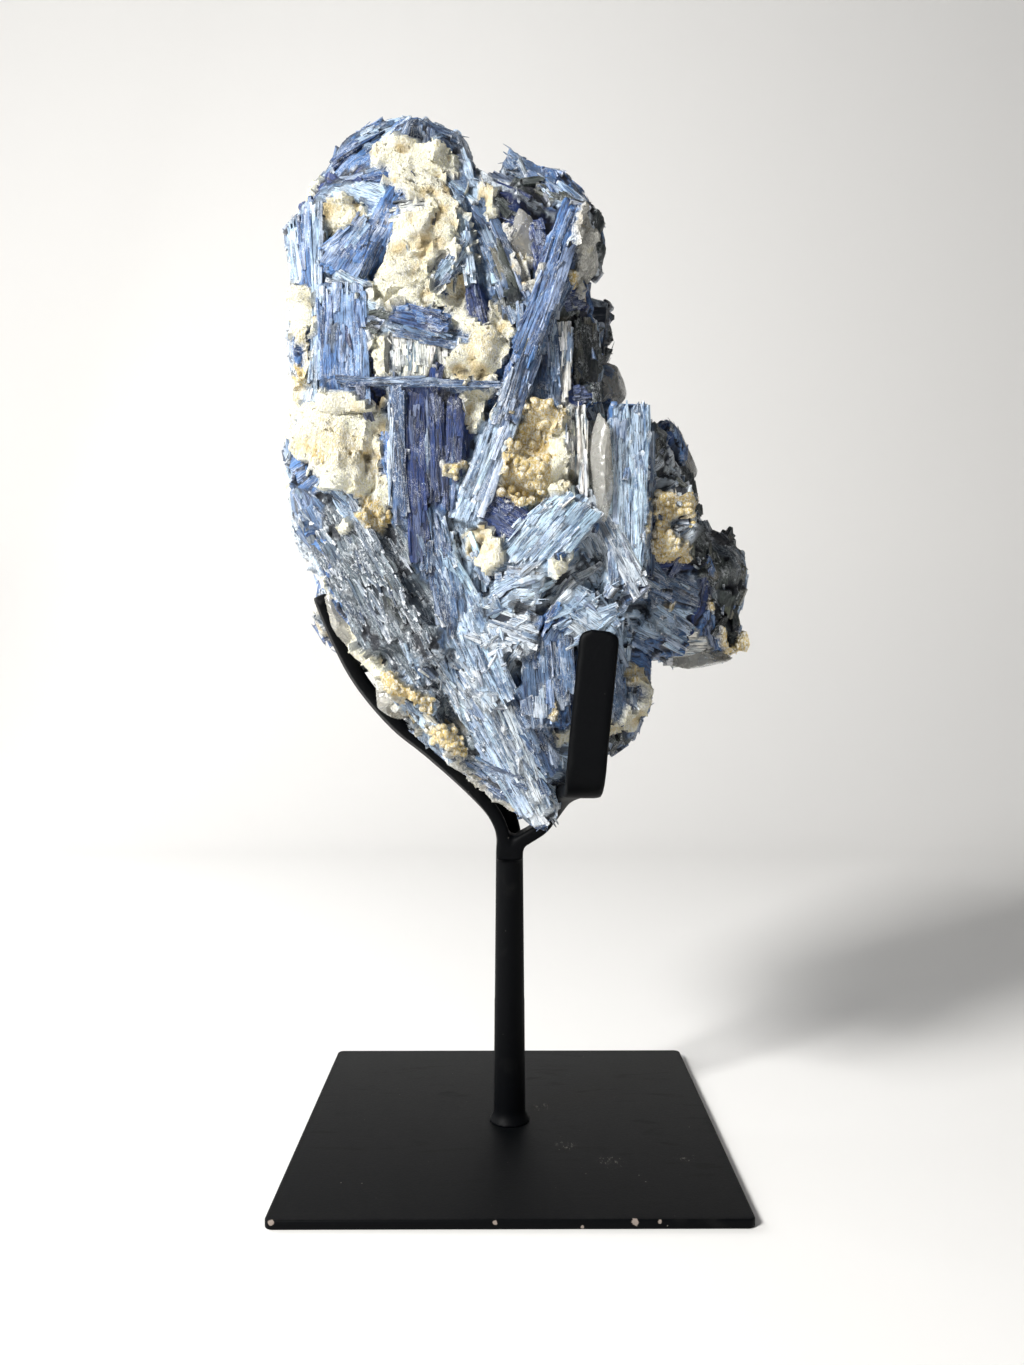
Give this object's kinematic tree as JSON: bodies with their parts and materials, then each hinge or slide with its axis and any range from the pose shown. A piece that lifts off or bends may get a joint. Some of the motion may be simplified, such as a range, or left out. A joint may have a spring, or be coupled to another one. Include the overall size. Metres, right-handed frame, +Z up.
{
  "type": "kyanite blade cluster on a display stand",
  "caption": "Rough cluster of blue kyanite blades in pale feldspar and quartz rock, cradled by bent flat arms on a slim post with a square steel base plate.",
  "frame": {"origin": "centre of the base plate's underside, on the post's axis", "axes": "+Z up along the post, -Y towards the viewer of the stone's best face, +X to that viewer's right"},
  "size_m": [0.1741, 0.15, 0.3702],
  "materials": {
    "kyanite_rock": "rough, bladed, blue with cream feldspar",
    "black_paint": "satin black paint"
  },
  "bodies": {
    "root": {"kyanite_cluster": "kyanite_rock", "base_plate": "black_paint", "post": "black_paint", "left_arm": "black_paint", "front_arm": "black_paint", "back_arm": "black_paint"}
  },
  "joints": []
}
